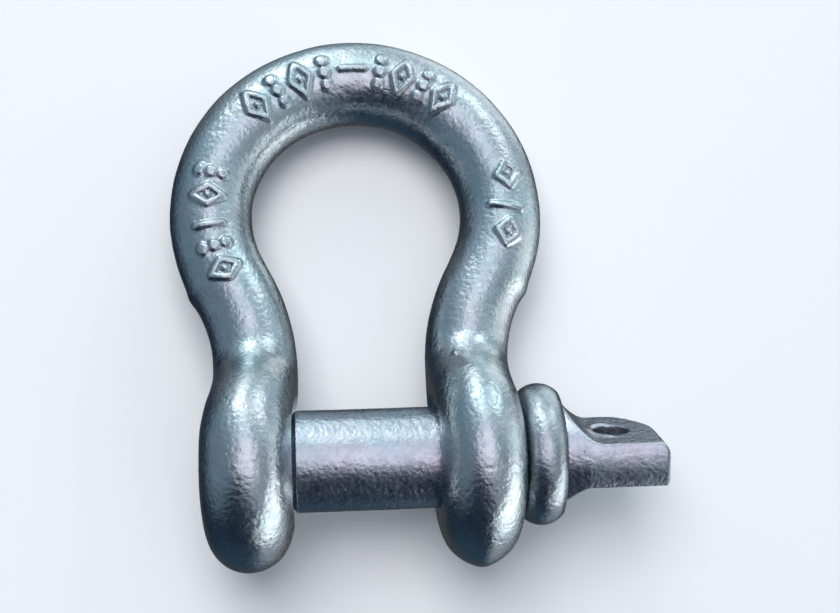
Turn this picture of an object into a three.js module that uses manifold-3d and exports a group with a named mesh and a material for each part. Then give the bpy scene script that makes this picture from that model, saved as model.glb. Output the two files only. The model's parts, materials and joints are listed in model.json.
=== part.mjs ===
// A screw-pin bow shackle for 16 mm bar, lying on its side: both ears and the crown touch the floor.
// Millimetres, +X along the pin towards its eye, +Y towards the crown, +Z up.
// Each piece is drawn with the pin's axis as the X axis, the bow in the XY plane and the jaw's middle
// as the origin, and the whole shackle is then tilted onto the floor.

import * as THREE from 'three';
import { ParametricGeometry } from 'three/addons/geometries/ParametricGeometry.js';
import { mergeVertices } from 'three/addons/utils/BufferGeometryUtils.js';
import Module from 'manifold-3d';

const wasm = await Module();
wasm.setup();

// The bow
const JAW_WIDTH = 27.2;
const CROWN_BAR_RADIUS = 8.35;
const LIMB_BAR_RADIUS = 8.0;
const BOW_RADIUS = 28.7;          // crown arc, to the middle of the bar
const BOW_CENTRE_HEIGHT = 49.4;   // pin axis to the centre of the crown arc
const BOW_WRAP = THREE.MathUtils.degToRad(27.8); // how far the crown arc runs below its centre, each side
const SHOULDER_RADIUS = 33.5;     // arc that turns each limb back to run straight down to its ear
const WAIST_OFFSET = 20.2;        // middle of the jaw to the middle of each limb, at its waist
const EAR_RADIUS = 20.3;
const EAR_ROUNDNESS = 4.5;        // exponent of the ear's rounded rim: 2 is an ellipse, more is squarer
const EAR_FILLET = 8;             // side view: fillet between the round ear and the limb
const SPOT_FACE_DEPTH = 0.5;      // metal taken off each ear's fattest point to leave a flat ring
const LEFT_EAR_THICKNESS = 17.4;
const RIGHT_EAR_THICKNESS = 16.5;
const PLAIN_HOLE_RADIUS = 10.3;
const TAPPED_MOUTH_RADIUS = 10.3; // 45 degree countersink at both ends of the tapped hole

// The thread: 3/4 inch, 10 turns to the inch, right-handed
const PITCH = 25.4 / 10;
const THREAD_ROOT_RADIUS = 8.0;
const THREAD_CREST_RADIUS = 9.5;
const CREST_FLAT = PITCH / 8;
const FLANK_SLOPE = Math.tan(Math.PI / 6);
const THREAD_CLEARANCE = 0.3;     // between crests and roots
const FLANK_CLEARANCE = 0.2;      // along the axis, each side

// The pin
const PIN_RADIUS = 9.525;
const PIN_END_RECESS = 0.4;       // pin's end to the left ear's outer face
const PIN_END_CHAMFER = 0.8;
const NECK_CHAMFER = 1.5;         // from the shank down to the thread's root
const COLLAR_RADIUS = 13.35;
const COLLAR_CENTRE = 33.0;       // widest circle of the collar
const COLLAR_HALF_WIDTH = 4.4;
const COLLAR_ROUNDNESS = 2;
const COLLAR_SEAT_RADIUS = 11.4;
const COLLAR_GAP = 0.3;           // collar to the ear, the shank and the shoulder
const SHOULDER_BASE_RADIUS = 10;
const SHOULDER_START = 36.7;
const SHOULDER_TAPER = 4;         // run over which the head widens from the shoulder to the eye
const UPPER_HOLLOW_START = 37.0;  // the shoulder is hollowed down to the eye's two flats
const LOWER_HOLLOW_START = 35.3;
const HOLLOW_RUN = 6.4;
const HOLLOW_EXPONENT = 1.65;     // 1 is a straight slope, more is hollower
const EYE_TIP = 56;
const EYE_HALF_WIDTH = 10.4;
const EYE_THICKNESS = 8.4;
const EYE_HOLE_RADIUS = 3.5;
const EYE_HOLE_CENTRE = 46.8;
const EYE_SHORT_ROUND = 3;        // the eye's end: a tight corner on one side, a long sweep on the other
const EYE_LONG_ROUND = 11;
const EYE_EDGE_ROUND = 1.0;
const EYE_ANGLE = THREE.MathUtils.degToRad(28.5); // the eye's flat, turned about the pin from the bow's plane

// Mesh fineness
const BAR_SIDES = 28;
const BAR_STEPS = 46;
const EAR_END_STEPS = 7;
const ROUND_SIDES = 40;
const THREAD_STEPS_PER_TURN = 24;

const EARS = {
  left: { half: LEFT_EAR_THICKNESS / 2 },
  right: { half: RIGHT_EAR_THICKNESS / 2 },
};
for (const ear of Object.values(EARS)) {
  ear.centre = JAW_WIDTH / 2 + ear.half - SPOT_FACE_DEPTH;
  ear.outerFace = ear.centre + ear.half - SPOT_FACE_DEPTH;
}

// ---------- solids ----------

// A closed three.js geometry as a manifold solid: shared corners merged, collapsed triangles dropped.
function solidOf(geometry) {
  const bare = geometry.clone();
  bare.deleteAttribute('normal');
  bare.deleteAttribute('uv');
  const merged = mergeVertices(bare, 1e-4);
  const index = merged.index.array;
  const triangles = [];
  for (let i = 0; i < index.length; i += 3) {
    const [a, b, c] = index.slice(i, i + 3);
    if (a !== b && b !== c && c !== a) triangles.push(a, b, c);
  }
  return new wasm.Manifold(new wasm.Mesh({
    numProp: 3,
    vertProperties: new Float32Array(merged.attributes.position.array),
    triVerts: new Uint32Array(triangles),
  }));
}

// A manifold solid back as a three.js geometry.
function geometryOf(solid) {
  const mesh = solid.getMesh();
  const geometry = new THREE.BufferGeometry();
  geometry.setAttribute('position', new THREE.BufferAttribute(mesh.vertProperties, 3));
  geometry.setIndex(new THREE.BufferAttribute(mesh.triVerts, 1));
  geometry.computeVertexNormals();
  return geometry;
}

// A solid of revolution about X, from points (radius, x) listed from low x to high x.
function turned(points) {
  const geometry = new THREE.LatheGeometry(points, ROUND_SIDES);
  geometry.rotateZ(-Math.PI / 2);
  return solidOf(geometry);
}

// A cone along X, from one x and radius to another.
function cone(fromRadius, toRadius, from, to) {
  const geometry = new THREE.CylinderGeometry(fromRadius, toRadius, to - from, ROUND_SIDES);
  geometry.rotateZ(Math.PI / 2);
  geometry.translate((from + to) / 2, 0, 0);
  return solidOf(geometry);
}

const cylinder = (radius, from, to) => cone(radius, radius, from, to);

// ---------- bow ----------

const smooth = (value, from, to) => THREE.MathUtils.smoothstep(value, from, to);

// Height of the waist above the pin's axis, where each limb runs straight down.
const limbSlope = { sin: Math.sin(BOW_WRAP), cos: Math.cos(BOW_WRAP) };
const straightLength = (BOW_RADIUS * limbSlope.cos - SHOULDER_RADIUS * (1 - limbSlope.cos) - WAIST_OFFSET)
  / limbSlope.sin;
const WAIST_HEIGHT = BOW_CENTRE_HEIGHT - (BOW_RADIUS + SHOULDER_RADIUS) * limbSlope.sin
  - straightLength * limbSlope.cos;

// Middle line of the forging, from the left ear's lowest point over the crown to the right ear's.
// absarc adds the short straight run between a shoulder arc and the crown arc by itself.
function centreline() {
  const path = new THREE.Path();
  const { left, right } = EARS;
  const bend = WAIST_HEIGHT / 2;
  path.moveTo(-left.centre, -EAR_RADIUS);
  path.lineTo(-left.centre, 0);
  path.bezierCurveTo(-left.centre, bend, -WAIST_OFFSET, bend, -WAIST_OFFSET, WAIST_HEIGHT);
  const shoulderX = WAIST_OFFSET + SHOULDER_RADIUS;
  path.absarc(-shoulderX, WAIST_HEIGHT, SHOULDER_RADIUS, 0, BOW_WRAP, false);
  path.absarc(0, BOW_CENTRE_HEIGHT, BOW_RADIUS, Math.PI + BOW_WRAP, -BOW_WRAP, true);
  path.absarc(shoulderX, WAIST_HEIGHT, SHOULDER_RADIUS, Math.PI - BOW_WRAP, Math.PI, false);
  path.bezierCurveTo(WAIST_OFFSET, bend, right.centre, bend, right.centre, 0);
  path.lineTo(right.centre, -EAR_RADIUS);
  return path;
}

// Half the forging's depth (along Z) at a height: the round ear, its fillet, then the limb.
function halfDepth(height) {
  const filletCentre = Math.sqrt((EAR_RADIUS + EAR_FILLET) ** 2 - (LIMB_BAR_RADIUS + EAR_FILLET) ** 2);
  const filletStart = filletCentre * EAR_RADIUS / (EAR_RADIUS + EAR_FILLET);
  if (height < filletStart) return Math.sqrt(Math.max(EAR_RADIUS ** 2 - height ** 2, 0));
  if (height > filletCentre) return barRadius(height);
  return LIMB_BAR_RADIUS + EAR_FILLET - Math.sqrt(EAR_FILLET ** 2 - (filletCentre - height) ** 2);
}

function barRadius(height) {
  const crown = smooth(height, BOW_CENTRE_HEIGHT, BOW_CENTRE_HEIGHT + BOW_RADIUS);
  return THREE.MathUtils.lerp(LIMB_BAR_RADIUS, CROWN_BAR_RADIUS, crown);
}

// Half the forging's width across its middle line, at a height and a depth (Z).
// Below the pin the ear is a solid of revolution; above it the section turns into the round bar.
function halfWidth(ear, height, depth) {
  if (height <= 0) {
    const rim = Math.min(Math.hypot(height, depth) / EAR_RADIUS, 1);
    return ear.half * Math.sqrt(1 - rim ** EAR_ROUNDNESS);
  }
  const limb = smooth(height, 0, WAIST_HEIGHT);
  const neck = THREE.MathUtils.lerp(ear.half, LIMB_BAR_RADIUS, limb);
  const widest = height > WAIST_HEIGHT ? barRadius(height) : neck;
  const exponent = THREE.MathUtils.lerp(EAR_ROUNDNESS, 2, limb);
  const rim = Math.min(Math.abs(depth) / halfDepth(height), 1);
  return widest * Math.sqrt(1 - rim ** exponent);
}

// Distances along the middle line where the bar's sections stand, closer together round the ears' ends.
function sectionDistances(length) {
  const distances = [];
  for (let i = 0; i < EAR_END_STEPS; i++) {
    distances.push(EAR_RADIUS * (1 - Math.cos(Math.PI / 2 * i / EAR_END_STEPS)));
  }
  for (let i = 0; i <= BAR_STEPS; i++) {
    distances.push(EAR_RADIUS + (length - 2 * EAR_RADIUS) * i / BAR_STEPS);
  }
  for (let i = EAR_END_STEPS - 1; i >= 0; i--) {
    distances.push(length - distances[i]);
  }
  return distances;
}

// The forging before its holes: sections along the middle line, closing to a point under each ear.
function bowBlank() {
  const path = centreline();
  const length = path.getLength();
  const distances = sectionDistances(length);
  const last = distances.length - 1;
  const place = (u, v, target) => {
    const step = Math.min(Math.floor(v * last + 1e-6), last - 1);
    const distance = THREE.MathUtils.lerp(distances[step], distances[step + 1], v * last - step);
    const along = THREE.MathUtils.clamp(distance / length, 0, 1);
    const point = path.getPoint(along);
    const tangent = path.getTangent(along);
    const angle = 2 * Math.PI * u;
    const ear = point.x < 0 ? EARS.left : EARS.right;
    const depth = halfDepth(point.y) * Math.sin(angle);
    const width = halfWidth(ear, point.y, depth) * Math.sign(Math.cos(angle));
    const edge = Math.abs(Math.cos(angle)) < 1e-9 ? 0 : width;
    target.set(point.x - tangent.y * edge, point.y + tangent.x * edge, depth);
  };
  return solidOf(new ParametricGeometry(place, BAR_SIDES, last));
}

// A helical ridge about X with a trapezoid section, its ends shrunk away to points.
// It starts a whole number of turns from x = 0, so ridges of one pitch share one helix.
function helicalRidge({ from, to, baseRadius, crestRadius, widen }) {
  const startAngle = 2 * Math.PI * from / PITCH;
  const turns = (to - from) / PITCH;
  const halfWidthAt = (radius) => CREST_FLAT / 2 + (THREAD_CREST_RADIUS - radius) * FLANK_SLOPE + widen;
  const section = [
    [baseRadius, -halfWidthAt(baseRadius)],
    [crestRadius, -halfWidthAt(crestRadius)],
    [crestRadius, halfWidthAt(crestRadius)],
    [baseRadius, halfWidthAt(baseRadius)],
  ];
  const steps = Math.round(turns * THREAD_STEPS_PER_TURN);
  const runOut = 0.3 / turns;
  const place = (u, v, target) => {
    const scale = smooth(u, 0, runOut) * (1 - smooth(u, 1 - runOut, 1));
    const [radius, offset] = section[Math.round(v * section.length) % section.length];
    const angle = startAngle + 2 * Math.PI * turns * u;
    const reach = baseRadius + (radius - baseRadius) * scale;
    const x = from + (to - from) * u + offset * scale;
    target.set(x, reach * Math.cos(angle), reach * Math.sin(angle));
  };
  return solidOf(new ParametricGeometry(place, steps, section.length));
}

function makeBow() {
  const jawFace = JAW_WIDTH / 2;
  const leftFace = EARS.left.outerFace;
  const rightFace = EARS.right.outerFace;
  const spotRadius = EAR_RADIUS * 0.66;
  const past = 3; // how far each cutter runs on past the metal
  const tapRadius = THREAD_ROOT_RADIUS + THREAD_CLEARANCE;
  const mouthDepth = TAPPED_MOUTH_RADIUS - THREAD_ROOT_RADIUS;
  const pastMouth = TAPPED_MOUTH_RADIUS + past;
  let bow = bowBlank();
  bow = bow.subtract(cylinder(spotRadius, -jawFace, jawFace));
  bow = bow.subtract(cylinder(spotRadius, -leftFace - past, -leftFace));
  bow = bow.subtract(cylinder(spotRadius, rightFace, rightFace + past));
  bow = bow.subtract(cylinder(PLAIN_HOLE_RADIUS, jawFace - past, rightFace + past));
  bow = bow.subtract(cylinder(tapRadius, -leftFace - past, -jawFace + past));
  bow = bow.subtract(helicalRidge({
    from: -leftFace - past,
    to: -jawFace + past,
    baseRadius: THREAD_ROOT_RADIUS,
    crestRadius: THREAD_CREST_RADIUS + THREAD_CLEARANCE,
    widen: FLANK_CLEARANCE,
  }));
  bow = bow.subtract(cone(THREAD_ROOT_RADIUS, pastMouth, -jawFace - mouthDepth, -jawFace + past));
  bow = bow.subtract(cone(pastMouth, THREAD_ROOT_RADIUS, -leftFace - past, -leftFace + mouthDepth));
  return bow;
}

// ---------- pin ----------

// The collar: flat seat against the ear, bulging rim, flat back against the shoulder.
function makeCollar() {
  const bore = PIN_RADIUS + COLLAR_GAP;
  const seat = EARS.right.outerFace + COLLAR_GAP;
  const back = SHOULDER_START - COLLAR_GAP;
  const steps = 12;
  const bulge = [];
  for (let i = 0; i <= steps; i++) {
    const x = THREE.MathUtils.lerp(seat, back, i / steps);
    const away = Math.min(Math.abs(x - COLLAR_CENTRE) / COLLAR_HALF_WIDTH, 1);
    const rise = (1 - away ** COLLAR_ROUNDNESS) ** (1 / COLLAR_ROUNDNESS);
    bulge.push(new THREE.Vector2(bore + (COLLAR_RADIUS - bore) * rise, x));
  }
  bulge[0].x = Math.min(bulge[0].x, COLLAR_SEAT_RADIUS);
  const seatCorner = new THREE.Vector2(bore, seat);
  const backCorner = new THREE.Vector2(bore, back);
  return turned([seatCorner, ...bulge, backCorner, seatCorner]);
}

// Shank, thread core and chamfers, turned as one.
function turnedPin() {
  const end = -EARS.left.outerFace + PIN_END_RECESS;
  const neck = -JAW_WIDTH / 2 + 0.2;
  const profile = new THREE.Path();
  profile.moveTo(0, end);
  profile.lineTo(THREAD_ROOT_RADIUS - PIN_END_CHAMFER, end);
  profile.lineTo(THREAD_ROOT_RADIUS, end + PIN_END_CHAMFER);
  profile.lineTo(THREAD_ROOT_RADIUS, neck);
  profile.lineTo(PIN_RADIUS, neck + NECK_CHAMFER);
  profile.lineTo(PIN_RADIUS, SHOULDER_START);
  profile.lineTo(0, SHOULDER_START);
  return turned(profile.getPoints());
}

// The round bar that the head is forged from: shoulder, then the eye's two convex walls.
function headBar() {
  const past = 1;
  return turned([
    new THREE.Vector2(0, SHOULDER_START - past),
    new THREE.Vector2(PIN_RADIUS - past, SHOULDER_START - past),
    new THREE.Vector2(PIN_RADIUS - past, SHOULDER_START),
    new THREE.Vector2(SHOULDER_BASE_RADIUS, SHOULDER_START),
    new THREE.Vector2(EYE_HALF_WIDTH, SHOULDER_START + SHOULDER_TAPER),
    new THREE.Vector2(EYE_HALF_WIDTH, EYE_TIP + past),
    new THREE.Vector2(0, EYE_TIP + past),
  ]);
}

// Half the head's thickness at x, where a hollow starts at start.
function flatHeight(x, start) {
  const fan = THREE.MathUtils.clamp(1 - (x - start) / HOLLOW_RUN, 0, 1) ** HOLLOW_EXPONENT;
  return THREE.MathUtils.lerp(EYE_THICKNESS / 2, SHOULDER_BASE_RADIUS, fan);
}

// The shoulder seen from the side: thick at the collar, hollowed above and below.
function shoulder() {
  const start = SHOULDER_START - 1;
  const end = UPPER_HOLLOW_START + HOLLOW_RUN;
  const steps = 12;
  const lower = [];
  const upper = [];
  for (let i = 0; i <= steps; i++) {
    const x = THREE.MathUtils.lerp(start, end, i / steps);
    lower.push(new THREE.Vector2(x, -flatHeight(x, LOWER_HOLLOW_START)));
    upper.push(new THREE.Vector2(x, flatHeight(x, UPPER_HOLLOW_START)));
  }
  const depth = 3 * EYE_HALF_WIDTH;
  const side = new THREE.Shape([...lower, ...upper.reverse()]);
  const block = new THREE.ExtrudeGeometry(side, { depth, bevelEnabled: false });
  block.translate(0, 0, -depth / 2);
  block.rotateX(EYE_ANGLE);
  return solidOf(block);
}

// The flat eye: straight sides, an uneven round end, its edges rounded by its bevel.
function eyeTab() {
  const root = SHOULDER_START + SHOULDER_TAPER;
  const cornerX = EYE_TIP - EYE_SHORT_ROUND;
  const cornerY = EYE_SHORT_ROUND - EYE_HALF_WIDTH;
  const outline = new THREE.Shape();
  outline.moveTo(root, -EYE_HALF_WIDTH);
  outline.lineTo(cornerX, -EYE_HALF_WIDTH);
  outline.absarc(cornerX, cornerY, EYE_SHORT_ROUND, -Math.PI / 2, 0, false);
  outline.absellipse(
    EYE_TIP - EYE_LONG_ROUND, cornerY, EYE_LONG_ROUND, EYE_HALF_WIDTH - cornerY, 0, Math.PI / 2, false, 0,
  );
  outline.lineTo(root, EYE_HALF_WIDTH);
  outline.closePath();
  const tab = new THREE.ExtrudeGeometry(outline, {
    depth: EYE_THICKNESS - 2 * EYE_EDGE_ROUND,
    curveSegments: 9,
    bevelThickness: EYE_EDGE_ROUND,
    bevelSize: EYE_EDGE_ROUND,
    bevelOffset: -EYE_EDGE_ROUND,
    bevelSegments: 2,
  });
  tab.translate(0, 0, EYE_EDGE_ROUND - EYE_THICKNESS / 2);
  tab.rotateX(EYE_ANGLE - Math.PI / 2);
  return solidOf(tab);
}

// The hole across the eye, as the solid it removes.
function eyeHole() {
  const drill = new THREE.CylinderGeometry(EYE_HOLE_RADIUS, EYE_HOLE_RADIUS, 2 * EYE_THICKNESS, ROUND_SIDES);
  drill.translate(EYE_HOLE_CENTRE, 0, 0);
  drill.rotateX(EYE_ANGLE);
  return solidOf(drill);
}

function makeScrewPin() {
  const thread = helicalRidge({
    from: -EARS.left.outerFace + PIN_END_RECESS + PITCH / 2,
    to: -JAW_WIDTH / 2 - PITCH / 2,
    baseRadius: THREAD_ROOT_RADIUS - THREAD_CLEARANCE,
    crestRadius: THREAD_CREST_RADIUS,
    widen: 0,
  });
  const head = shoulder().add(eyeTab()).intersect(headBar()).subtract(eyeHole());
  return turnedPin().add(thread).add(head);
}

// ---------- scene ----------

function node(name, solid, material) {
  const mesh = new THREE.Mesh(geometryOf(solid), new THREE.MeshStandardMaterial(material));
  mesh.name = name;
  return mesh;
}

// Tilt that lets the ears' rims and the underside of the crown share one floor plane.
const lieAngle = Math.asin((EAR_RADIUS - CROWN_BAR_RADIUS) / (BOW_CENTRE_HEIGHT + BOW_RADIUS));

const shackle = new THREE.Group();
shackle.add(
  node('bow', makeBow(), { color: 0x8c9a9f, roughness: 0.42, metalness: 1 }),
  node('pin_collar', makeCollar(), { color: 0x929ba3, roughness: 0.4, metalness: 1 }),
  node('screw_pin', makeScrewPin(), { color: 0x928f9c, roughness: 0.4, metalness: 1 }),
);
shackle.rotation.x = -lieAngle;
shackle.updateMatrixWorld(true);

// The origin is the middle of the foot of the box that holds the whole shackle.
const box = new THREE.Box3().setFromObject(shackle, true);
shackle.position.set(-(box.min.x + box.max.x) / 2, -(box.min.y + box.max.y) / 2, -box.min.z);

const root = new THREE.Group();
root.add(shackle);

export default root;
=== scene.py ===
import itertools
import json
import math

import bpy
import numpy as np
from mathutils import Matrix, Vector


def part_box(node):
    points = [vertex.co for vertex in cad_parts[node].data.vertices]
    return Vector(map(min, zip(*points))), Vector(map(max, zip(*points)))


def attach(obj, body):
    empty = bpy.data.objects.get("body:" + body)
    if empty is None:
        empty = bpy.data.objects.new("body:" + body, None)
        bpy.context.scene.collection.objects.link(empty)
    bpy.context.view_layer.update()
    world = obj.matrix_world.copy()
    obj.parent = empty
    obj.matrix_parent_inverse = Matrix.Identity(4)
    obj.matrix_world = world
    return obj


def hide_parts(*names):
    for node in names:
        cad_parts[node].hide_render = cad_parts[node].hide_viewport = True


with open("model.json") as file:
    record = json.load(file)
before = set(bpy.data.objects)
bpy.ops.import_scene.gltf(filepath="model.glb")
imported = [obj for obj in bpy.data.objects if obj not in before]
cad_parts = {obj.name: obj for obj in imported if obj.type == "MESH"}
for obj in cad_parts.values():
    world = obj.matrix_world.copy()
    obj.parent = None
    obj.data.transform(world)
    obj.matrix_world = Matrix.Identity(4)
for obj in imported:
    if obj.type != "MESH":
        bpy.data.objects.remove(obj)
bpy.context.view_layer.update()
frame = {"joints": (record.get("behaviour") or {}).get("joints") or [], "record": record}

# A zinc-plated screw-pin bow shackle, lying on its side on a pale floor.
# Shapes are worked out in millimetres in the shackle's own frame: X along the pin's axis, the bow in
# the XY plane with its crown towards +Y, the jaw's middle as the origin. PLACE then lays them in the
# row frame, in metres.
MM = 0.001

# The bow, as in the CAD model
CROWN_BAR_RADIUS = 8.35
LIMB_BAR_RADIUS = 8.0
BOW_RADIUS = 28.7  # crown arc, to the middle of the bar
BOW_CENTRE_HEIGHT = 49.4  # pin axis to the centre of the crown arc
BOW_WRAP = math.radians(27.8)  # how far the crown arc runs below its centre, each side
SHOULDER_RADIUS = 33.5  # arc that turns each limb back to run straight down to its ear
WAIST_OFFSET = 20.2  # middle of the jaw to the middle of each limb, at its waist
EASING = 1.6  # the middle line's changes of curvature are spread over about this much of it
EAR_RADIUS = 20.3
EAR_ROUNDNESS = 4.5  # exponent of the ear's rounded rim: 2 is an ellipse, more is squarer
EAR_FILLET = 8  # side view: fillet between the round ear and the limb
SPOT_FACE_DEPTH = 0.5  # metal taken off each ear's fattest point to leave a flat ring
SPOT_FACE_SHARE = 0.66  # of the ear's radius
SPOT_FACE_RADIUS = EAR_RADIUS * SPOT_FACE_SHARE
SPOT_FACE_BORDER = 1.3
PLAIN_HOLE_RADIUS = 10.3
PLAIN_HOLE_EDGE = 0.6  # its broken edge
TAPPED_MOUTH_RADIUS = 10.3  # 45 degree countersink at both ends of the tapped hole

# The thread
THREAD_ROOT_RADIUS = 8.0
THREAD_CREST_RADIUS = 9.5
FLANK_SLOPE = math.tan(math.radians(30))
THREAD_CLEARANCE = 0.3  # between crests and roots
FLANK_CLEARANCE = 0.2  # along the axis, each side
THREAD_LEAD_IN = 0.6  # from the pin's end to where its thread starts to rise
THREAD_LEAD_OUT = 1.2  # from where it has died away to the left ear's inner face
THREAD_RISE = 1.0  # run over which it rises, and over which it dies away

# The pin
PIN_RADIUS = 9.525
PIN_END_CHAMFER = 0.8
NECK_SETBACK = 0.7  # from the foot of the neck's chamfer to the left ear's inner face
NECK_CHAMFER = 1.5
COLLAR_CENTRE = 33.0
COLLAR_HALF_WIDTH = 4.4
COLLAR_SEAT_RADIUS = 11.4
COLLAR_SEAT_SLOPE = 4  # how steeply the collar's side rises from its seat
COLLAR_GAP = 0.3  # the CAD collar to the ear and to the shoulder
SEAT_GAP = 0.06  # this closer collar to the ear
SHOULDER_GAP = 0.02  # and to the shoulder
BORE_GAP = 0.07  # and to the shank
SHOULDER_BASE_RADIUS = 10
SHOULDER_TAPER = 4  # run over which the head widens from the shoulder to the eye
SHANK_SETBACK = 0.5  # how far short of the shoulder the shank ends, inside the head's core
CORE_LENGTH = 2.5  # the part of the head that stands inside the collar, joined to the shank
CORE_INSET = 0.6  # how far inside the shank's surface it lies
CORE_RUN_OUT = 0.4  # the core widens to the shoulder's lip over this length
LIP = 0.4  # rounding of the shoulder's lip across the pin
LIP_RUN = 0.2  # and along it
UPPER_HOLLOW_START = 37.0  # the shoulder is hollowed down to the eye's two flats
LOWER_HOLLOW_START = 35.3
HOLLOW_RUN = 6.4
HOLLOW_EXPONENT = 1.65  # 1 is a straight slope, more is hollower
EYE_HALF_WIDTH = 10.4
EYE_PROUD = 0.3  # how far the eye's end stands out past the CAD model's, before smoothing
EYE_HOLE_RADIUS = 3.4
EYE_HOLE_CENTRE = 46.8
EYE_CORNER_RUN = 0.8  # the eye's end: a tight corner on one side, a long sweep on the other
EYE_CORNER_DEPTH = 3
EYE_LONG_ROUND = 11
UPPER_NOSE = 1.9  # rounding of the upper flat's far end, and of the lower one's
LOWER_NOSE = 0.7

# The burr round the eye hole's upper mouth
BURR_OFFSET = 0.9  # from the hole's wall to the burr's crest
BURR_HEIGHT = 0.3
BURR_SPREAD = 0.6
BURR_DEPTH = 0.6  # how far below the flat the metal still moves with it
BURR_FADE = (-1, 2)  # distances from the hole's centre towards the collar at which it starts and is whole

# The forged and zinc-plated skin, from broad swelling to fine grain: height and size of its lumps
SKIN_LAYERS = [(0.09, 11), (0.045, 4.2), (0.014, 1.7), (0.006, 0.8)]
SHANK_SKIN = 0.5  # how much of it the turned shank has, and the pressed head
HEAD_SKIN = 0.8
SHARP_ANGLE = math.radians(38)  # edges sharper than this aren't shaded smooth

# What the frame says. Places and lengths with small letters are in metres, the others in millimetres.
record = frame["record"]
mounts = {mount["name"]: mount for mount in record["mounts"]}
joints = {joint["name"]: joint for joint in frame["joints"]}
coupling = record["behaviour"]["couplings"][0]
PITCH = 2 * math.pi / coupling["ratio"] / MM
pin_axis = Vector(joints["pin_turn"]["pos_m"])
jaw_left = mounts["jaw_face_left"]["pos_m"][0]
jaw_right = mounts["jaw_face_right"]["pos_m"][0]
jaw_middle = (jaw_left + jaw_right) / 2
JAW_HALF = (jaw_right - jaw_left) / 2 / MM


def along_pin(x):
    """A row-frame X in metres as a distance from the jaw's middle in millimetres."""
    return (x - jaw_middle) / MM


LEFT_FACE = -along_pin(mounts["tapped_ear_outer_face"]["pos_m"][0])
RIGHT_FACE = along_pin(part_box("pin_collar")[0].x) - COLLAR_GAP
COLLAR_BACK = along_pin(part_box("pin_collar")[1].x)
COLLAR_RADIUS = (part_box("pin_collar")[1].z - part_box("pin_collar")[0].z) / 2 / MM
SHOULDER_START = COLLAR_BACK + COLLAR_GAP
PIN_END = along_pin(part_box("screw_pin")[0].x)
EYE_TIP = along_pin(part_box("screw_pin")[1].x) + EYE_PROUD
LIE_ANGLE = math.asin((EAR_RADIUS - CROWN_BAR_RADIUS) / (BOW_CENTRE_HEIGHT + BOW_RADIUS))
upper_flat = mounts["eye_flat_upper"]
lower_flat = mounts["eye_flat_lower"]
EYE_THICKNESS = (Vector(upper_flat["pos_m"]) - Vector(lower_flat["pos_m"])).length / MM
EYE_ANGLE = math.atan2(upper_flat["axis"][2], upper_flat["axis"][1]) + LIE_ANGLE

LAY_DOWN = Matrix.Translation((jaw_middle, pin_axis.y, pin_axis.z)) @ Matrix.Rotation(-LIE_ANGLE, 4, "X")
PLACE = LAY_DOWN @ Matrix.Scale(MM, 4)


class Ear:
    """One end of the bow: half its thickness and the middle of it along the pin."""

    def __init__(self, outer_face):
        self.half = (outer_face - JAW_HALF) / 2 + SPOT_FACE_DEPTH
        self.centre = (outer_face + JAW_HALF) / 2


LEFT_EAR = Ear(LEFT_FACE)
RIGHT_EAR = Ear(RIGHT_FACE)


# ---------- numbers ----------

TINY = 1e-9  # keeps a division away from zero


def smoothstep(value, low, high):
    """0 up to low, 1 from high on, and a smooth rise between them."""
    part = np.clip((value - low) / (high - low), 0, 1)
    return part * part * (3 - 2 * part)


def mix(low, high, share):
    """low where the share is 0, high where it is 1."""
    return low + (high - low) * share


def noise(points, cell, seed):
    """Smooth noise between -1 and 1 at each point, in lumps about cell millimetres across."""
    size = 32
    table = np.random.default_rng(seed).uniform(-1, 1, (size, size, size))
    # turned, so that the lumps don't line up with the shackle's axes
    spin = np.array([[0.36, 0.48, -0.8], [-0.8, 0.6, 0], [0.48, 0.64, 0.6]])
    scaled = points @ spin / cell
    low = np.floor(scaled).astype(int)
    part = smoothstep(scaled - low, 0, 1)
    total = np.zeros(points.shape[:-1])
    for corner in itertools.product((0, 1), repeat=3):
        weight = np.prod(np.where(corner, part, 1 - part), axis=-1)
        index = (low + corner) % size
        total += weight * table[index[..., 0], index[..., 1], index[..., 2]]
    return total


def forged_skin(points, seed):
    """How far the forged skin stands off its true shape at each point, in millimetres."""
    return sum(height * noise(points, cell, seed + k) for k, (height, cell) in enumerate(SKIN_LAYERS))


# ---------- meshes ----------


def new_object(name, vertices, faces):
    """A mesh object of that name, linked to the scene."""
    mesh = bpy.data.meshes.new(name)
    mesh.from_pydata(vertices, [], faces)
    piece = bpy.data.objects.new(name, mesh)
    bpy.context.scene.collection.objects.link(piece)
    return piece


def solid_of_rings(name, rings, start, end):
    """A closed solid from rings of points, each end closed by a fan to a point."""
    count, sides = rings.shape[:2]
    vertices = [tuple(start), *map(tuple, rings.reshape(-1, 3)), tuple(end)]
    last = len(vertices) - 1
    faces = []
    for j in range(sides):
        after = (j + 1) % sides
        faces.append((0, 1 + after, 1 + j))
        faces.append((last, 1 + (count - 1) * sides + j, 1 + (count - 1) * sides + after))
    for i in range(count - 1):
        row = 1 + i * sides
        for j in range(sides):
            after = (j + 1) % sides
            faces.append((row + j, row + after, row + sides + after, row + sides + j))
    return new_object(name, vertices, faces)


def ring_normals(rings):
    """Unit normals of a grid of rings, pointing out of the solid."""
    along = np.gradient(rings, axis=0)
    around = np.roll(rings, -1, axis=1) - np.roll(rings, 1, axis=1)
    normals = np.cross(around, along)
    return normals / np.maximum(np.linalg.norm(normals, axis=2, keepdims=True), TINY)


def turned_rings(xs, radii, sides):
    """Rings about the X axis. radii is one per ring, or one per ring and side."""
    angles = np.linspace(0, 2 * math.pi, sides, endpoint=False)
    radii = np.broadcast_to(np.asarray(radii).reshape(len(xs), -1), (len(xs), sides))
    stations = np.broadcast_to(np.asarray(xs)[:, None], radii.shape)
    return np.stack((stations, radii * np.cos(angles), radii * np.sin(angles)), axis=2)


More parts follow.
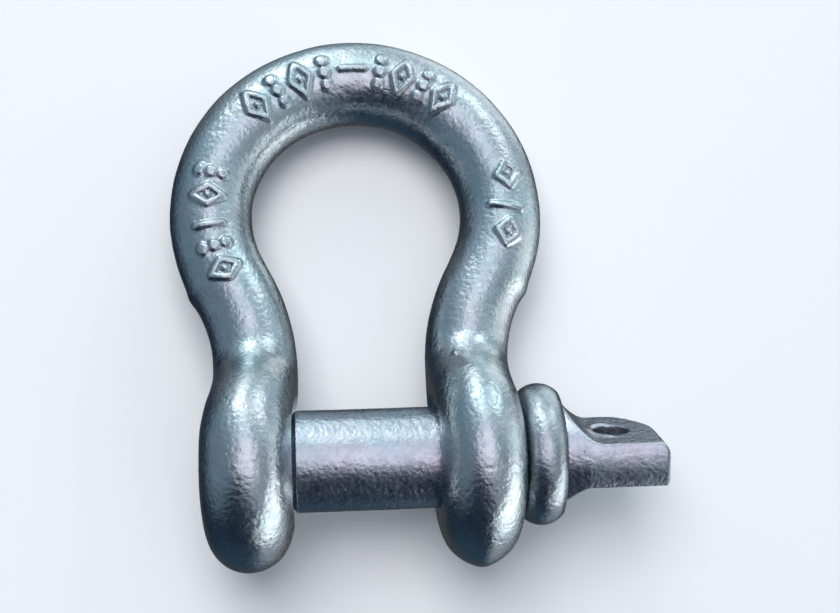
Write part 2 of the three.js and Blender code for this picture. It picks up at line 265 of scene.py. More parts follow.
def turned_solid(name, profile, sides=160):
    """A solid of revolution about X from (x, radius) corners."""
    xs, radii = zip(*profile)
    rings = turned_rings(xs, radii, sides)
    return solid_of_rings(name, rings, (xs[0], 0, 0), (xs[-1], 0, 0))


def apply_modifiers(piece):
    """Makes the piece's modifiers part of its mesh."""
    depsgraph = bpy.context.evaluated_depsgraph_get()
    mesh = bpy.data.meshes.new_from_object(piece.evaluated_get(depsgraph))
    piece.modifiers.clear()
    piece.data = mesh


def boolean(piece, other, operation):
    """Joins other to the piece or cuts it out, and discards other."""
    modifier = piece.modifiers.new("boolean", "BOOLEAN")
    modifier.operation = operation
    modifier.solver = "MANIFOLD"
    modifier.object = other
    apply_modifiers(piece)
    bpy.data.objects.remove(other)


def displace(piece, seed, strength):
    """Gives a finished solid the forged skin, along its own normals."""
    mesh = piece.data
    count = len(mesh.vertices)
    points = np.empty(count * 3)
    normals = np.empty(count * 3)
    mesh.vertices.foreach_get("co", points)
    mesh.vertex_normals.foreach_get("vector", normals)
    points = points.reshape(-1, 3)
    normals = normals.reshape(-1, 3)
    points += normals * (strength * forged_skin(points, seed))[:, None]
    mesh.vertices.foreach_set("co", points.ravel())
    mesh.update()


def finish_piece(piece, body, node, material):
    """Lays the piece down in the row frame and tells the frame what it stands for."""
    mesh = piece.data
    mesh.transform(PLACE)
    mesh.shade_smooth()
    mesh.set_sharp_from_angle(angle=SHARP_ANGLE)
    mesh.materials.clear()
    mesh.materials.append(material)
    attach(piece, body)
    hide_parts(node)


# ---------- bow: middle line ----------

FINE_STEP = 0.1  # between the middle line's points

# The height at which the limb has been turned to run straight down: from the crown arc's centre down past
# the arc's end, a straight run and the shoulder's arc
WAIST_HEIGHT = (
    BOW_CENTRE_HEIGHT
    - (BOW_RADIUS + SHOULDER_RADIUS) * math.sin(BOW_WRAP)
    - (BOW_RADIUS * math.cos(BOW_WRAP) - SHOULDER_RADIUS * (1 - math.cos(BOW_WRAP)) - WAIST_OFFSET)
    / math.tan(BOW_WRAP)
)


def arc(centre, radius, start, end):
    """Points along an arc from the start angle to the end angle, in radians."""
    angles = np.linspace(start, end, max(int(abs(end - start) * radius / FINE_STEP), 2))
    return np.array(centre) + radius * np.stack((np.cos(angles), np.sin(angles)), axis=1)


def limb(ear):
    """Middle line of the right-hand half, from the crown's top down to the ear's lowest point."""
    bend = WAIST_HEIGHT / 2
    corners = np.array(
        [(WAIST_OFFSET, WAIST_HEIGHT), (WAIST_OFFSET, bend), (ear.centre, bend), (ear.centre, 0)]
    )
    joggle_steps = 200
    t = np.linspace(0, 1, joggle_steps)[:, None]
    joggle = (
        (1 - t) ** 3 * corners[0]
        + 3 * t * (1 - t) ** 2 * corners[1]
        + 3 * t**2 * (1 - t) * corners[2]
        + t**3 * corners[3]
    )
    crown = arc((0, BOW_CENTRE_HEIGHT), BOW_RADIUS, math.pi / 2, -BOW_WRAP)
    shoulder_centre = (WAIST_OFFSET + SHOULDER_RADIUS, WAIST_HEIGHT)
    shoulder = arc(shoulder_centre, SHOULDER_RADIUS, math.pi - BOW_WRAP, math.pi)
    tail = np.array([(ear.centre, -EAR_RADIUS)])
    return np.concatenate((crown, shoulder, joggle[1:], tail))


def even_points(points, step):
    """The same line with points at even distances."""
    lengths = np.linalg.norm(np.diff(points, axis=0), axis=1)
    distances = np.concatenate(([0], np.cumsum(lengths)))
    wanted = np.linspace(0, distances[-1], int(distances[-1] / step) + 1)
    return np.stack([np.interp(wanted, distances, points[:, k]) for k in (0, 1)], axis=1)


def eased(points, sigma):
    """The line smoothed by a bell curve of that width; its ends stay."""
    bell_reach = 4
    reach = int(bell_reach * sigma / FINE_STEP)
    weights = np.exp(-0.5 * (np.arange(-reach, reach + 1) * FINE_STEP / sigma) ** 2)
    weights /= weights.sum()
    before = 2 * points[0] - points[reach:0:-1]
    after = 2 * points[-1] - points[-2 : -reach - 2 : -1]
    padded = np.concatenate((before, points, after))
    return np.stack([np.convolve(padded[:, k], weights, "valid") for k in (0, 1)], axis=1)


def bow_line():
    """Middle line from the left ear over the crown to the right ear."""
    left = limb(LEFT_EAR)[::-1] * (-1, 1)
    right = limb(RIGHT_EAR)[1:]
    return eased(even_points(np.concatenate((left, right)), FINE_STEP), EASING)


# ---------- bow: sections ----------


def bar_radius(height):
    """The bar's radius at a height: a little fatter towards the crown."""
    crown = smoothstep(height, BOW_CENTRE_HEIGHT, BOW_CENTRE_HEIGHT + BOW_RADIUS)
    return mix(LIMB_BAR_RADIUS, CROWN_BAR_RADIUS, crown)


def half_depths(heights):
    """Half the forging's depth along Z at each height: the round ear, its fillet, then the limb."""
    reach = EAR_RADIUS + EAR_FILLET
    fillet_top = math.sqrt(reach**2 - (LIMB_BAR_RADIUS + EAR_FILLET) ** 2)
    fillet_foot = fillet_top * EAR_RADIUS / reach
    ear = np.sqrt(np.maximum(EAR_RADIUS**2 - heights**2, 0))
    below_top = np.clip(fillet_top - heights, 0, EAR_FILLET)
    fillet = LIMB_BAR_RADIUS + EAR_FILLET - np.sqrt(EAR_FILLET**2 - below_top**2)
    return np.where(heights < fillet_foot, ear, np.where(heights > fillet_top, bar_radius(heights), fillet))


def half_widths(ear_half, heights, depths):
    """Half the forging's width across its middle line, at each height and depth."""
    ear_rim = np.minimum(np.hypot(heights, depths) / EAR_RADIUS, 1)
    ear = ear_half * np.sqrt(1 - ear_rim**EAR_ROUNDNESS)
    limb_share = smoothstep(heights, 0, WAIST_HEIGHT)
    neck = mix(ear_half, LIMB_BAR_RADIUS, limb_share)
    widest = np.where(heights > WAIST_HEIGHT, bar_radius(heights), neck)
    exponent = mix(EAR_ROUNDNESS, 2, limb_share)
    rim = np.minimum(np.abs(depths) / half_depths(heights), 1)
    bar = widest * np.sqrt(1 - rim**exponent)
    return np.where(heights <= 0, ear, bar)


def section_distances(length):
    """Where the sections stand along the middle line, closer together round the ears' ends."""
    end_steps = 56
    bar_step = 0.3
    turn = np.linspace(0, math.pi / 2, end_steps + 1)[1:]
    end = EAR_RADIUS * (1 - np.cos(turn))
    bar = np.arange(EAR_RADIUS + bar_step, length - EAR_RADIUS, bar_step)
    return np.concatenate((end, bar, length - end[::-1]))


# ---------- bow: raised marks ----------
# Each mark is a set of soft strokes on the bar's skin: u runs along the bar, v across it,
# outwards. They stand where a maker's lettering would, and spell nothing.

STROKE_CORE = 0.2  # distances from a stroke's middle at which it starts to fall and ends
STROKE_EDGE = 1.0
MARK_HEIGHT = 0.6


def to_segment(u, v, start, end):
    """Distance from (u, v) to a straight stroke."""
    run = np.subtract(end, start)
    share = ((u - start[0]) * run[0] + (v - start[1]) * run[1]) / (run @ run)
    share = np.clip(share, 0, 1)
    return np.hypot(u - start[0] - share * run[0], v - start[1] - share * run[1])


def outline(u, v, corners):
    """Distance to a closed outline of straight strokes."""
    sides = [to_segment(u, v, corners[k - 1], corners[k]) for k in range(len(corners))]
    return np.minimum.reduce(sides)


def dash(u, v, half_u, half_v):
    """One straight stroke."""
    return to_segment(u, v, (-half_u, -half_v), (half_u, half_v))


def lozenge(u, v, half_u, half_v):
    """An outlined lozenge round a dot."""
    corners = [(half_u, 0), (0, half_v), (-half_u, 0), (0, -half_v)]
    return np.minimum(outline(u, v, corners), np.hypot(u, v))


def beads(u, v, radius, spacing):
    """A column of three round beads."""
    return np.minimum.reduce([np.hypot(u, v - k * spacing) for k in (-1, 0, 1)]) - radius


# Shape, distance of its middle along the bar from the crown's top, how far it stands outwards from the
# line nearest the viewer, and half its size along and across the bar, or the beads' radius and spacing
CROWN_MARKS = [
    (lozenge, -21.5, -0.8, 2.2, 3.6),
    (beads, -16.2, -0.8, 0.6, 2.6),
    (lozenge, -11.0, -0.8, 2.1, 3.6),
    (beads, -5.8, -0.8, 0.6, 2.6),
    (dash, 0, -0.5, 2.4, 0),
    (beads, 5.7, -0.8, 0.6, 2.6),
    (lozenge, 10.4, -0.8, 2.0, 3.6),
    (beads, 15.1, -0.8, 0.6, 2.6),
    (lozenge, 19.8, -0.8, 2.0, 3.6),
]
LEFT_MARKS = [
    (beads, -38.4, 0.1, 0.55, 2.4),
    (lozenge, -43.3, 0.1, 1.9, 3.1),
    (dash, -49.4, 0.1, 0, 2.7),
    (beads, -53.8, 0.1, 0.55, 2.4),
    (lozenge, -58.9, 0.1, 2.0, 3.0),
]
RIGHT_MARKS = [
    (lozenge, 40.4, 1.5, 2.5, 2.3),
    (dash, 46.8, 0.3, 0.3, 3.0),
    (lozenge, 52.0, 1.4, 2.5, 2.3),
]


def marks_relief(along, across):
    """How far the raised marks stand off the bar at each point of its skin."""
    relief = np.zeros(along.shape)
    for shape, middle_u, middle_v, *size in CROWN_MARKS + LEFT_MARKS + RIGHT_MARKS:
        away = shape(along - middle_u, across - middle_v, *size)
        stroke = 1 - smoothstep(away, STROKE_CORE, STROKE_EDGE)
        relief = np.maximum(relief, MARK_HEIGHT * stroke)
    return relief


# ---------- bow: solid ----------

BOW_SIDES = 192
BOW_SEED = 7

# What else stands off the bar: a step in the flash at each kink, a nub under the right ear and a speck
# on the right neck. Sizes are the heights and spreads of soft humps.
FLASH_HEIGHT = 0.35
FLASH_SPREAD = 1.5
NUB_HEIGHT = 0.5
NUB_LENGTH = 2.4
NUB_WIDTH = 2.6
SPECK_HEIGHT = 0.5
SPECK_SPREAD = 0.5
SPECK_ALONG = 78.5
SPECK_ACROSS = -3.0


def hump(value, middle, spread):
    """A soft hump, 1 high at its middle."""
    return np.exp(-(((value - middle) / spread) ** 2))


def bow_relief(rings, along, angles, widths, heights):
    """Everything on the bar that stands off its smooth shape, in millimetres along its normals."""
    top_side = np.sin(angles) > 0
    across = bar_radius(heights) * (math.pi / 2 - angles)
    relief = np.where(top_side, marks_relief(along, across), 0)
    relief = relief + forged_skin(rings, BOW_SEED)
    kink = BOW_RADIUS * (math.pi / 2 + BOW_WRAP)
    outward = np.clip(np.cos(angles), 0, 1) ** 2
    for side in (-1, 1):
        relief += FLASH_HEIGHT * hump(along, side * kink, FLASH_SPREAD) * outward
    right_tip = hump(heights, -EAR_RADIUS, NUB_LENGTH) * (along > 0)
    relief += NUB_HEIGHT * right_tip * hump(widths, 0, NUB_WIDTH)
    speck = hump(along, SPECK_ALONG, SPECK_SPREAD) * hump(across, SPECK_ACROSS, SPECK_SPREAD) * top_side
    return relief + SPECK_HEIGHT * speck


def bow_blank():
    """The bow before its holes and flat faces are cut."""
    line = bow_line()
    tangents = np.gradient(line, axis=0)
    tangents /= np.linalg.norm(tangents, axis=1, keepdims=True)
    length = FINE_STEP * (len(line) - 1)
    distances = section_distances(length)
    steps = np.arange(len(line)) * FINE_STEP
    x, y = (np.interp(distances, steps, line[:, k])[:, None] for k in (0, 1))
    run_x, run_y = (np.interp(distances, steps, tangents[:, k])[:, None] for k in (0, 1))
    angles = np.linspace(0, 2 * math.pi, BOW_SIDES, endpoint=False)[None, :]
    ear_half = np.where(x < 0, LEFT_EAR.half, RIGHT_EAR.half)
    depths = half_depths(y) * np.sin(angles)
    cosine_digits = 9  # so that a cosine that should be zero is zero
    side = np.sign(np.round(np.cos(angles), cosine_digits))
    widths = half_widths(ear_half, y, depths) * side
    rings = np.stack((x - run_y * widths, y + run_x * widths, depths), axis=2)
    crown_distance = np.interp(0, line[:, 0], steps)
    along = np.broadcast_to((distances - crown_distance)[:, None], widths.shape)
    heights = np.broadcast_to(y, widths.shape)
    sides = np.broadcast_to(angles, widths.shape)
    rings = rings + ring_normals(rings) * bow_relief(rings, along, sides, widths, heights)[..., None]
    tip_drop = (0, 0.01, 0)
    start = rings[0].mean(axis=0) - tip_drop
    end = rings[-1].mean(axis=0) - tip_drop
    return solid_of_rings("bow_forging", rings, start, end)


def thread_radii(xs, angles, root, crest, widen):
    """Radius of a screw thread at each x and angle about the pin's axis."""
    turns = xs / PITCH - angles / (2 * math.pi)
    from_ridge = np.abs(turns - np.round(turns)) * PITCH
    crest_flat = PITCH / 8
    crest_half = crest_flat / 2 + widen
    return np.clip(THREAD_CREST_RADIUS - (from_ridge - crest_half) / FLANK_SLOPE, root, crest)


def tap():
    """The solid that leaves the tapped hole, thread and countersunk mouths together."""
    sides = 144
    past = 2
    step = PITCH / 24
    xs = np.arange(-LEFT_FACE - past, -JAW_HALF + past, step)[:, None]
    angles = np.linspace(0, 2 * math.pi, sides, endpoint=False)[None, :]
    root = THREAD_ROOT_RADIUS + THREAD_CLEARANCE
    crest = THREAD_CREST_RADIUS + THREAD_CLEARANCE
    radii = thread_radii(xs, angles, root, crest, FLANK_CLEARANCE)
    to_mouth = np.minimum(np.abs(xs + LEFT_FACE), np.abs(xs + JAW_HALF))
    outside = (xs < -LEFT_FACE) | (xs > -JAW_HALF)
    mouth = TAPPED_MOUTH_RADIUS + np.where(outside, to_mouth, -to_mouth)
    rings = turned_rings(xs[:, 0], np.maximum(radii, mouth), sides)
    return solid_of_rings("tap", rings, (xs[0, 0], 0, 0), (xs[-1, 0], 0, 0))


def drill():
    """The solid that leaves the plain hole, with its edges broken."""
    past = 2
    widest = PLAIN_HOLE_RADIUS + PLAIN_HOLE_EDGE + past
    return turned_solid(
        "drill",
        [
            (JAW_HALF - past, widest),
            (JAW_HALF + PLAIN_HOLE_EDGE, PLAIN_HOLE_RADIUS),
            (RIGHT_FACE - PLAIN_HOLE_EDGE, PLAIN_HOLE_RADIUS),
            (RIGHT_FACE + past, widest),
        ],
    )


def spot_facer(start, end):
    """The solid that leaves a flat round face at each end of it, with a sloped border."""
    inner = SPOT_FACE_RADIUS - SPOT_FACE_BORDER
    return turned_solid(
        "spot_facer",
        [
            (start, inner),
            (start + SPOT_FACE_BORDER, SPOT_FACE_RADIUS),
            (end - SPOT_FACE_BORDER, SPOT_FACE_RADIUS),
            (end, inner),
        ],
    )


def make_bow():
    """The bow, with flat rings round its holes, a plain hole and a tapped one."""
    piece = bow_blank()
    past = 4
    boolean(piece, spot_facer(-JAW_HALF, JAW_HALF), "DIFFERENCE")
    boolean(piece, spot_facer(-LEFT_FACE - past, -LEFT_FACE), "DIFFERENCE")
    boolean(piece, spot_facer(RIGHT_FACE, RIGHT_FACE + past), "DIFFERENCE")
    boolean(piece, drill(), "DIFFERENCE")
    boolean(piece, tap(), "DIFFERENCE")
    return piece


# ---------- pin ----------

COLLAR_SEED = 21
SHANK_SEED = 33
HEAD_SEED = 45


def make_collar():
    """The rounded collar, closed onto the ear on one side and the shoulder on the other."""
    sides = 200
    sections = 90
    seat = RIGHT_FACE + SEAT_GAP
    back = SHOULDER_START - SHOULDER_GAP
    bore = PIN_RADIUS + BORE_GAP
    xs = mix(seat, back, (1 - np.cos(np.linspace(0, math.pi, sections))) / 2)
    away = np.clip(np.abs(xs - COLLAR_CENTRE) / COLLAR_HALF_WIDTH, 0, 1)
    bulge = bore + (COLLAR_RADIUS - bore) * np.sqrt(1 - away**2)
    bulge = np.minimum(bulge, COLLAR_SEAT_RADIUS + COLLAR_SEAT_SLOPE * (xs - seat))
    rings = turned_rings(xs, bulge, sides)
    rings += ring_normals(rings) * forged_skin(rings, COLLAR_SEED)[..., None]
    piece = solid_of_rings("collar_forging", rings, (seat, 0, 0), (back, 0, 0))
    past = 1
    boolean(piece, turned_solid("bore", [(seat - past, bore), (back + past, bore)], sides), "DIFFERENCE")
    return piece


def shank_radii(xs, angles):
    """Radius of the pin from its threaded end to its shoulder."""
    neck_start = -JAW_HALF - NECK_SETBACK
    thread_start = PIN_END + THREAD_LEAD_IN
    thread_end = -JAW_HALF - THREAD_LEAD_OUT
    rise = smoothstep(xs, thread_start, thread_start + THREAD_RISE)
    fall = 1 - smoothstep(xs, thread_end - THREAD_RISE, thread_end)
    thread = thread_radii(xs, angles, THREAD_ROOT_RADIUS, THREAD_CREST_RADIUS, 0)
    threaded = mix(THREAD_ROOT_RADIUS, thread, rise * fall)
    chamfer = THREAD_ROOT_RADIUS - PIN_END_CHAMFER + (xs - PIN_END)
    neck = mix(THREAD_ROOT_RADIUS, PIN_RADIUS, np.clip((xs - neck_start) / NECK_CHAMFER, 0, 1))
    return np.where(xs < neck_start, np.minimum(threaded, chamfer), neck)


def make_shank():
    """The thread, the neck and the plain shank, with closer rings where the shape changes."""
    sides = 176
    thread_step = PITCH / 28
    shank_step = 0.32
    past = 0.5
    neck_end = -JAW_HALF + NECK_CHAMFER + past
    end = SHOULDER_START - SHANK_SETBACK
    xs = np.concatenate((np.arange(PIN_END, neck_end, thread_step), np.arange(neck_end, end, shank_step)))
    angles = np.linspace(0, 2 * math.pi, sides, endpoint=False)[None, :]
    rings = turned_rings(xs, shank_radii(xs[:, None], angles), sides)
    rings += ring_normals(rings) * (SHANK_SKIN * forged_skin(rings, SHANK_SEED))[..., None]
    return solid_of_rings("screw_pin_forging", rings, (PIN_END, 0, 0), (xs[-1], 0, 0))


def flat_height(x, start, nose):
    """Half the head's thickness at x: hollowed from the collar down to the flat, round at the tip."""
    fan = np.clip(1 - (x - start) / HOLLOW_RUN, 0, 1) ** HOLLOW_EXPONENT
    past = np.clip((x - EYE_TIP + nose) / nose, 0, 1)
    return mix(EYE_THICKNESS / 2, SHOULDER_BASE_RADIUS, fan) * np.sqrt(1 - past**2)


def eye_limits(x):
    """Lowest and highest Y of the eye's outline at x: a tight corner at one end, a long sweep."""
    corner_y = EYE_CORNER_DEPTH - EYE_HALF_WIDTH
    corner = np.clip((x - EYE_TIP + EYE_CORNER_RUN) / EYE_CORNER_RUN, 0, 1)
    sweep = np.clip((x - EYE_TIP + EYE_LONG_ROUND) / EYE_LONG_ROUND, 0, 1)
    low = corner_y - EYE_CORNER_DEPTH * np.sqrt(1 - corner**2)
    high = corner_y + (EYE_HALF_WIDTH - corner_y) * np.sqrt(1 - sweep**2)
    return low, high


def head_profile():
    """Where the head's sections stand and the radius of its bar: a core, a lip, then the eye."""
    eye_sections = 120
    lip = [
        (SHOULDER_START - CORE_LENGTH, PIN_RADIUS - CORE_INSET),
        (SHOULDER_START - CORE_RUN_OUT, PIN_RADIUS - CORE_INSET),
        (SHOULDER_START, SHOULDER_BASE_RADIUS - LIP),
        (SHOULDER_START + LIP_RUN, SHOULDER_BASE_RADIUS),
    ]
    start = lip[-1][0] + LIP_RUN
    xs = mix(start, EYE_TIP, np.sin(np.linspace(0, math.pi / 2, eye_sections)))
    radii = mix(SHOULDER_BASE_RADIUS, EYE_HALF_WIDTH, np.clip((xs - start) / SHOULDER_TAPER, 0, 1))
    return np.concatenate((np.array(lip), np.stack((xs, radii), axis=1)))


def head_blank():
    """The head seen square to its flats: round walls, two hollowed flats, an uneven end."""
    sides = 288
    xs, radii = (column[:, None] for column in head_profile().T)
    angles = np.linspace(0, 2 * math.pi, sides, endpoint=False)[None, :]
    across, up = np.cos(angles), np.sin(angles)
    low, high = eye_limits(xs)
    middle, half = (low + high) / 2, (high - low) / 2
    upper = flat_height(xs, UPPER_HOLLOW_START, UPPER_NOSE)
    lower = flat_height(xs, LOWER_HOLLOW_START, LOWER_NOSE)
    to_wall = np.sqrt(np.maximum(radii**2 - (middle * up) ** 2, 0)) - middle * across
    to_flat = np.where(up > 0, upper, lower) / np.maximum(np.abs(up), TINY)
    to_outline = half / np.maximum(np.abs(across), TINY)
    reach = np.minimum(np.minimum(to_wall, to_flat), to_outline)
    stations = np.broadcast_to(xs, reach.shape)
    rings = np.stack((stations, middle + reach * across, reach * up), axis=2)
    start = (xs[0, 0], 0, 0)
    end = (xs[-1, 0], middle[-1, 0], 0)
    return solid_of_rings("head", rings, start, end)


def eye_drill():
    """The solid that leaves the eye's hole, square to the flats."""
    sides = 96
    rings = turned_rings([-EYE_THICKNESS, EYE_THICKNESS], [EYE_HOLE_RADIUS, EYE_HOLE_RADIUS], sides)
    upright = np.stack((EYE_HOLE_CENTRE - rings[..., 2], rings[..., 1], rings[..., 0]), axis=2)
    ends = [(EYE_HOLE_CENTRE, 0, side * EYE_THICKNESS) for side in (-1, 1)]
    return solid_of_rings("eye_drill", upright, *ends)


def raise_burr(head):
    """Pushes up the burr round the collar's side of the hole's upper mouth."""
    burr_radius = EYE_HOLE_RADIUS + BURR_OFFSET
    for vertex in head.data.vertices:
        x, y, z = vertex.co
        inward = EYE_HOLE_CENTRE - x
        if z > EYE_THICKNESS / 2 - BURR_DEPTH and inward > BURR_FADE[0]:
            away = math.hypot(inward, y) - burr_radius
            side = smoothstep(inward, *BURR_FADE)
            vertex.co.z += BURR_HEIGHT * side * math.exp(-((away / BURR_SPREAD) ** 2))


def make_head():
    """Shoulder and eye in one, every edge softened as by forging and plating."""
    head = head_blank()
    boolean(head, eye_drill(), "DIFFERENCE")
    remesh = head.modifiers.new("remesh", "REMESH")
    remesh.mode = "VOXEL"
    remesh.voxel_size = 0.22
    smooth = head.modifiers.new("smooth", "SMOOTH")
    smooth.factor = 0.5
    smooth.iterations = 6
    apply_modifiers(head)
    displace(head, HEAD_SEED, HEAD_SKIN)
    raise_burr(head)
    head.data.transform(Matrix.Rotation(EYE_ANGLE - math.pi / 2, 4, "X"))
    return head


def make_screw_pin():
    """Shank and head joined into one solid."""
    piece = make_shank()
    boolean(piece, make_head(), "UNION")
    return piece


# ---------- materials ----------

DULL_ZINC = (0.34, 0.40, 0.43, 1)
WORN_ZINC = (0.80, 0.84, 0.85, 1)
PIT_SHADE = (0.20, 0.23, 0.26, 1)
# painted shade: the colour that hollows and creases are darkened towards, where less light reaches
PAINTED_HOLLOW_SHADE = (0.16, 0.20, 0.24, 1)
# painted shade beside the collar and at the eye's far end
PAINTED_SHADE_COLOUR = (0.07, 0.08, 0.10, 1)
PIT_STRENGTH = 0.4

# Relief of the fine grain, as shares of BUMP_DISTANCE, which is in metres
FINE_HEIGHT = 0.5
MOTTLE_HEIGHT = 0.65
CELL_DEPTH = 0.3
PIT_DEPTH = 0.3
BUMP_DISTANCE = 0.0002


class Nodes:
    """Shorthands for building the node tree of a material or a world."""

    def __init__(self, owner):
        owner.use_nodes = True
        self.tree = owner.node_tree
        self.tree.nodes.clear()

    def add(self, kind, inputs=None, **settings):
        """A new shader node; each input is given a value or linked to another node's output."""
        node = self.tree.nodes.new("ShaderNode" + kind)
        for name, value in settings.items():
            setattr(node, name, value)
        for name, value in (inputs or {}).items():
            self.set(node.inputs[name], value)
        return node

    def set(self, socket, value):
        if isinstance(value, bpy.types.NodeSocket):
            self.tree.links.new(value, socket)
        else:
            socket.default_value = value

    def noise(self, coordinates, scale, detail, roughness):
        inputs = {"Vector": coordinates, "Scale": scale, "Detail": detail, "Roughness": roughness}
        return self.add("TexNoise", inputs).outputs["Fac"]

    def range(self, value, from_low, from_high, to_low, to_high):
        inputs = {
            "Value": value,
            "From Min": from_low,
            "From Max": from_high,
            "To Min": to_low,
            "To Max": to_high,
        }
        return self.add("MapRange", inputs).outputs["Result"]

    def math(self, operation, first, second):
        node = self.add("Math", operation=operation)
        self.set(node.inputs[0], first)
        self.set(node.inputs[1], second)
        return node.outputs[0]

    def mix_colour(self, share, first, second):
        """A Mix node has sockets for numbers and vectors too, so its colour sockets go by number."""
        node = self.add("Mix", data_type="RGBA")
        self.set(node.inputs[0], share)
        self.set(node.inputs[6], first)
        self.set(node.inputs[7], second)
        return node.outputs[2]


def zinc(name, cool, warm, roughness, grain, painted_shade=()):
    """Satin zinc on forged steel: cool and warm patches, a fine crackled grain, pits, worn edges.

    The last argument lists bands of painted shade: the X at which it is darkest, the X at which it has
    faded out, and how dark.
    """
    material = bpy.data.materials.new(name)
    n = Nodes(material)
    where = n.add("TexCoord").outputs["Object"]
    to_millimetres = 1 / MM
    scaled = n.add("Mapping", {"Vector": where, "Scale": [to_millimetres] * 3}).outputs["Vector"]

    patches = n.noise(scaled, scale=0.09, detail=4, roughness=0.6)
    mottle = n.noise(scaled, scale=0.45, detail=4, roughness=0.65)
    fine = n.noise(scaled, scale=1.25, detail=2, roughness=0.5)
    cells = n.add("TexVoronoi", {"Vector": scaled, "Scale": 1.2}, feature="SMOOTH_F1").outputs[0]
    pits = n.noise(scaled, scale=0.8, detail=2, roughness=0.4)
    # 0.5 on a flat, less in a hollow and more on an edge
    pointiness = n.add("NewGeometry").outputs["Pointiness"]

    colour = n.mix_colour(n.range(patches, 0.35, 0.65, 0, 1), cool, warm)
    pit_share = n.range(pits, 0.72, 0.80, 0, 1)
    dull = n.range(mottle, 0.3, 0.7, 0, 0.4)
    colour = n.mix_colour(dull, colour, DULL_ZINC)
    colour = n.mix_colour(n.math("MULTIPLY", pit_share, PIT_STRENGTH), colour, PIT_SHADE)
    # Painted shade: hollows and creases are darkened, as if less light reached into them
    painted_hollow_share = n.range(pointiness, 0.42, 0.5, 0.6, 0)
    colour = n.mix_colour(painted_hollow_share, colour, PAINTED_HOLLOW_SHADE)
    worn = n.range(pointiness, 0.53, 0.60, 0, 0.2)
    colour = n.mix_colour(worn, colour, WORN_ZINC)
    x = n.add("SeparateXYZ", {0: where}).outputs["X"]
    # Painted shade: the colour is darkened in bands along X, beside the collar and at the eye's far end
    for darkest_at, faded_at, share in painted_shade:
        colour = n.mix_colour(n.range(x, darkest_at, faded_at, share, 0), colour, PAINTED_SHADE_COLOUR)

    rough = n.range(mottle, 0.3, 0.7, roughness - 0.05, roughness + 0.07)
    rough = n.math("ADD", rough, n.range(fine, 0.3, 0.7, -0.03, 0.05))

    height = n.math("MULTIPLY", fine, FINE_HEIGHT)
    height = n.math("ADD", height, n.math("MULTIPLY", mottle, MOTTLE_HEIGHT))
    height = n.math("SUBTRACT", height, n.math("MULTIPLY", cells, CELL_DEPTH))
    height = n.math("SUBTRACT", height, n.math("MULTIPLY", pit_share, PIT_DEPTH))
    bump = n.add("Bump", {"Height": height, "Strength": grain, "Distance": BUMP_DISTANCE})

    shader = n.add(
        "BsdfPrincipled",
        {
            "Base Color": colour,
            "Roughness": rough,
            "Metallic": 1.0,
            "Normal": bump.outputs["Normal"],
        },
    )
    n.add("OutputMaterial", {"Surface": shader.outputs["BSDF"]})
    return material


# ---------- studio ----------

FLOOR_HALF = 4  # metres
FLOOR_LEVEL = -0.0001  # metres, just clear of the shackle
FLOOR_COLOUR = (0.82, 0.82, 0.82, 1)
FLOOR_ROUGHNESS = 0.9


def make_floor():
    """A pale floor that the metal doesn't mirror."""
    signs = [(-1, -1), (1, -1), (1, 1), (-1, 1)]
    corners = [(x * FLOOR_HALF, y * FLOOR_HALF, FLOOR_LEVEL) for x, y in signs]
    floor = new_object("floor", corners, [(0, 1, 2, 3)])
    material = bpy.data.materials.new("pale_floor")
    n = Nodes(material)
    shader = n.add("BsdfPrincipled", {"Base Color": FLOOR_COLOUR, "Roughness": FLOOR_ROUGHNESS})
    n.add("OutputMaterial", {"Surface": shader.outputs["BSDF"]})
    floor.data.materials.append(material)
    floor.visible_glossy = False


def from_above(tilt, azimuth):
    """The direction tilt degrees off straight up, azimuth degrees round from +X towards +Y."""
    tilt, azimuth = math.radians(tilt), math.radians(azimuth)
    return (math.sin(tilt) * math.cos(azimuth), math.sin(tilt) * math.sin(azimuth), math.cos(tilt))


# The dim room, and the floor's shade seen straight below, with the cosines at which it starts and is whole
DIM_ROOM = (0.012, 0.022, 0.042)
UNDERSIDE = (0.075, 0.070, 0.068)
UNDERSIDE_FADE = (0.80, 0.96)

# The soft glows that the metal mirrors: tilt and azimuth of the middle, degrees from the middle to
# where the glow starts to fade and to where it ends, and its light
GLOWS = [
    (72, 72, 26, 80, (0.33, 0.45, 0.52)),
    (50, 92, 7, 18, (1.20, 1.32, 1.32)),
    (67, 106, 5, 15, (2.40, 2.58, 2.58)),
    (86, 98, 8, 20, (1.00, 1.10, 1.10)),
    (70, 58, 8, 18, (1.50, 1.65, 1.65)),
    (62, 30, 10, 26, (0.20, 0.22, 0.23)),
    (116, 58, 10, 28, (0.74, 0.77, 0.75)),
    (126, 118, 8, 24, (0.12, 0.12, 0.12)),
    (94, 328, 11, 31, (1.46, 1.58, 1.58)),
    (92, 0, 12, 34, (0.78, 0.83, 0.83)),
    (118, 0, 12, 34, (0.28, 0.29, 0.30)),
    (88, 302, 9, 22, (0.96, 1.06, 1.10)),
    (124, 312, 12, 34, (0.30, 0.33, 0.35)),
    (130, 256, 14, 40, (0.015, 0.035, 0.05)),
    (48, 325, 10, 40, (0.24, 0.28, 0.31)),
    (24, 318, 8, 26, (0.28, 0.27, 0.31)),
    (6, 80, 8, 34, (1.06, 1.00, 1.13)),
    (68, 168, 20, 60, (0.16, 0.22, 0.27)),
]


class Surroundings(Nodes):
    """Shorthands for a world of light that changes with direction."""

    def share(self, direction, axis, low, high):
        """0 to 1, as the direction's part along the axis goes from low to high."""
        along = self.add("VectorMath", operation="DOT_PRODUCT")
        self.set(along.inputs[0], direction)
        self.set(along.inputs[1], axis)
        inputs = {"Value": along.outputs["Value"], "From Min": low, "From Max": high}
        return self.add("MapRange", inputs, interpolation_type="SMOOTHSTEP").outputs["Result"]


